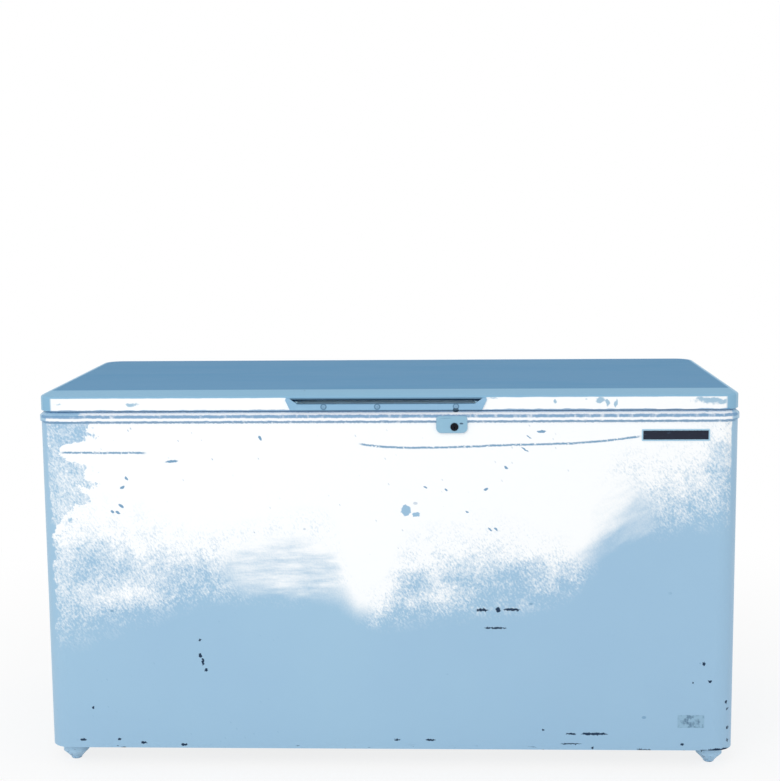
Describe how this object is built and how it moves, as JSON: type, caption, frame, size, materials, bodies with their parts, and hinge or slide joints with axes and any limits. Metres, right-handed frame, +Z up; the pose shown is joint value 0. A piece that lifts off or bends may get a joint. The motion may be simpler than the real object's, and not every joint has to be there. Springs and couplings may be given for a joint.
{
  "type": "chest freezer",
  "caption": "Long low chest freezer with one hinged full-width lid, a moulded finger-slot handle, a front key lock, a stepped tub over the machine bay and short feet",
  "frame": {"origin": "on the floor, under the middle of the outline, hinges and lock plate included", "axes": "+X to the right seen from the front, +Y to the back where the hinges are, +Z up; the front faces -Y"},
  "size_m": [1.658, 0.777, 0.9055],
  "materials": {
    "blue_enamel": "satin",
    "lid_enamel": "satin",
    "collar_plastic": "satin",
    "handle_plastic": "satin",
    "lock_plastic": "satin",
    "black_plastic": "matte",
    "galvanised": "satin",
    "zinc_screws": "satin",
    "tub_aluminium": "satin",
    "panel_plastic": "satin",
    "foam": "matte",
    "seal_rubber": "matte",
    "black_rubber": "matte",
    "copper": "satin",
    "black_enamel": "satin",
    "lock_chrome": "satin"
  },
  "bodies": {
    "cabinet": {"cabinet_wrapper": "blue_enamel", "back_panel": "galvanised", "base_pan": "galvanised", "foot_front_left": "black_plastic", "foot_front_right": "black_plastic", "foot_rear_left": "black_plastic", "foot_rear_right": "black_plastic", "inner_liner": "tub_aluminium", "foam_body": "foam", "top_collar": "collar_plastic", "bay_panel": "galvanised", "evaporator_coil": "copper", "condenser_coil": "copper", "compressor": "black_enamel", "compressor_grommets": "black_rubber", "compressor_studs": "zinc_screws", "start_relay_box": "black_plastic", "discharge_pipe": "copper", "suction_pipe": "copper", "drier_feed_pipe": "copper", "filter_drier": "copper", "capillary_tube": "copper", "rear_grille": "black_plastic", "grille_screws": "zinc_screws", "thermostat": "black_plastic", "cord_inlet": "black_plastic", "lock_escutcheon": "lock_plastic", "lock_case": "black_plastic", "hinge_bracket_left": "galvanised", "hinge_bracket_right": "galvanised", "hinge_pin_left": "zinc_screws", "hinge_pin_right": "zinc_screws", "hinge_spring_left": "zinc_screws", "hinge_spring_right": "zinc_screws", "bracket_screws": "zinc_screws"},
    "lid": {"lid_skin": "lid_enamel", "lid_inner_panel": "panel_plastic", "lid_gasket": "seal_rubber", "lid_foam": "foam", "lid_handle": "handle_plastic", "handle_screws": "zinc_screws", "lock_striker": "galvanised", "hinge_leaf_left": "galvanised", "hinge_leaf_right": "galvanised", "leaf_screws": "zinc_screws"},
    "lock": {"lock_key_barrel": "lock_chrome", "lock_hook": "galvanised", "lock_nut": "zinc_screws"},
    "thermostat_dial": {"thermostat_knob": "black_plastic"},
    "plunger_left": {"hinge_plunger_left": "black_plastic"},
    "plunger_right": {"hinge_plunger_right": "black_plastic"}
  },
  "joints": [
    {"name": "lid_hinge", "type": "hinge", "parent": "cabinet", "child": "lid", "pos_m": [0, 0.3805, 0.866], "axis": [-1, 0, 0], "range_deg": [0, 85], "stiffness_Nm_per_rad": 9, "springref_deg": 143.24},
    {"name": "lock_turn", "type": "hinge", "parent": "cabinet", "child": "lock", "pos_m": [0.16, -0.368, 0.8315], "axis": [0, 1, 0], "range_deg": [0, 90]},
    {"name": "thermostat_turn", "type": "hinge", "parent": "cabinet", "child": "thermostat_dial", "pos_m": [0.6365, 0.372, 0.2585], "axis": [0, -1, 0], "range_deg": [0, 270]},
    {"name": "plunger_slide_left", "type": "slide", "parent": "cabinet", "child": "plunger_left", "axis": [0, 0, 1], "range_m": [0, 0.0044], "deforming": ["hinge_spring_left"]},
    {"name": "plunger_slide_right", "type": "slide", "parent": "cabinet", "child": "plunger_right", "axis": [0, 0, 1], "range_m": [0, 0.0044], "deforming": ["hinge_spring_right"]}
  ],
  "couplings": [
    {"joint": "plunger_slide_left", "follows": "lid_hinge", "m_per_rad": 0.0029},
    {"joint": "plunger_slide_right", "follows": "lid_hinge", "m_per_rad": 0.0029}
  ]
}
